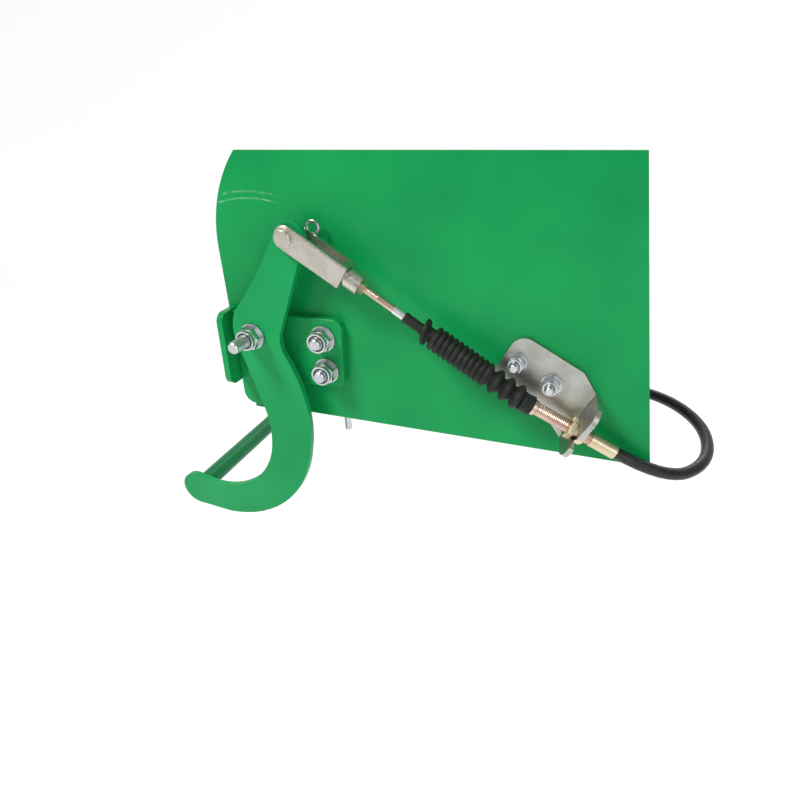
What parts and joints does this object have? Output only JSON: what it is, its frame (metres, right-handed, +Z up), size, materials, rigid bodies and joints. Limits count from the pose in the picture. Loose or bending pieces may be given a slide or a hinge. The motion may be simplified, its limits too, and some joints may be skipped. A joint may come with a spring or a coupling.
{
  "type": "cable-operated latch hook station",
  "caption": "Curved latch hook pivoted on a hopper side panel, pulled through a clevis fork by a push-pull control cable in a rubber boot.",
  "frame": {"origin": "on the hook's pivot axis, at the outer face of the side panel", "axes": "-Y outward from the panel, +Z up, +X along the panel towards the cable bracket"},
  "size_m": [0.5257, 0.2567, 0.3836],
  "materials": {
    "panel_paint": "glossy green enamel",
    "hook_paint": "glossy green enamel",
    "zinc": "bright zinc plate",
    "yellow_zinc": "yellow passivated zinc",
    "bar_steel": "glossy green enamel",
    "nylon": "dark nylon",
    "boot_rubber": "black rubber",
    "cable_jacket": "black plastic sheath",
    "tie_nylon": "black nylon"
  },
  "bodies": {
    "station": {"side_panel": "panel_paint", "floor_plate": "panel_paint", "floor_stiffener": "panel_paint", "pivot_bracket": "panel_paint", "bracket_guard": "panel_paint", "floor_washer": "zinc", "floor_nut": "zinc", "floor_bolt": "zinc", "bracket_washers": "zinc", "bracket_nuts": "zinc", "bracket_bolts": "zinc", "pivot_spacer": "zinc", "pivot_washer": "zinc", "pivot_nut": "zinc", "pivot_bolt": "zinc", "cable_bracket": "zinc", "cable_bracket_washers": "zinc", "cable_bracket_nuts": "zinc", "cable_bracket_bolts": "zinc", "hub_tube": "yellow_zinc", "hub_nut_front": "yellow_zinc", "hub_nut_back": "yellow_zinc", "tail_hub": "yellow_zinc", "tail_nuts": "yellow_zinc", "tail_rod": "yellow_zinc", "bracket_nut_inserts": "nylon", "pivot_nut_insert": "nylon", "cable_bracket_nut_inserts": "nylon", "boot": "boot_rubber", "boot_cuff": "boot_rubber", "cable_ferrule": "cable_jacket", "cable": "cable_jacket", "cable_coil": "cable_jacket", "cable_tail": "cable_jacket", "tail_ferrule": "cable_jacket", "cable_ties": "tie_nylon"},
    "hook": {"hook_lever": "hook_paint", "cross_bar": "bar_steel", "bar_weld": "hook_paint"},
    "rod": {"clevis_fork": "zinc", "clevis_pin": "zinc", "cotter_pin": "zinc", "rod_lock_nut": "zinc", "push_rod": "yellow_zinc", "rod_sleeve": "yellow_zinc"},
    "swivel_tube": {"support_tube": "zinc"}
  },
  "joints": [
    {"name": "hook_pivot", "type": "hinge", "parent": "station", "child": "hook", "pos_m": [0, -0.021, 0], "axis": [0, 1, 0], "range_deg": [0, 20], "deforming": ["boot"]},
    {"name": "clevis_pivot", "type": "hinge", "parent": "hook", "child": "rod", "pos_m": [0.0455, -0.021, 0.092], "axis": [0, 1, 0], "range_deg": [-21, 0], "deforming": ["boot"]},
    {"name": "tube_swivel", "type": "hinge", "parent": "station", "child": "swivel_tube", "pos_m": [0.2507, -0.021, -0.02457], "axis": [0, 1, 0], "range_deg": [-1, 0], "deforming": ["boot"]}
  ],
  "couplings": [
    {"joint": "clevis_pivot", "follows": "hook_pivot", "ratio": -1.0447},
    {"joint": "tube_swivel", "follows": "hook_pivot", "ratio": -0.0447}
  ]
}
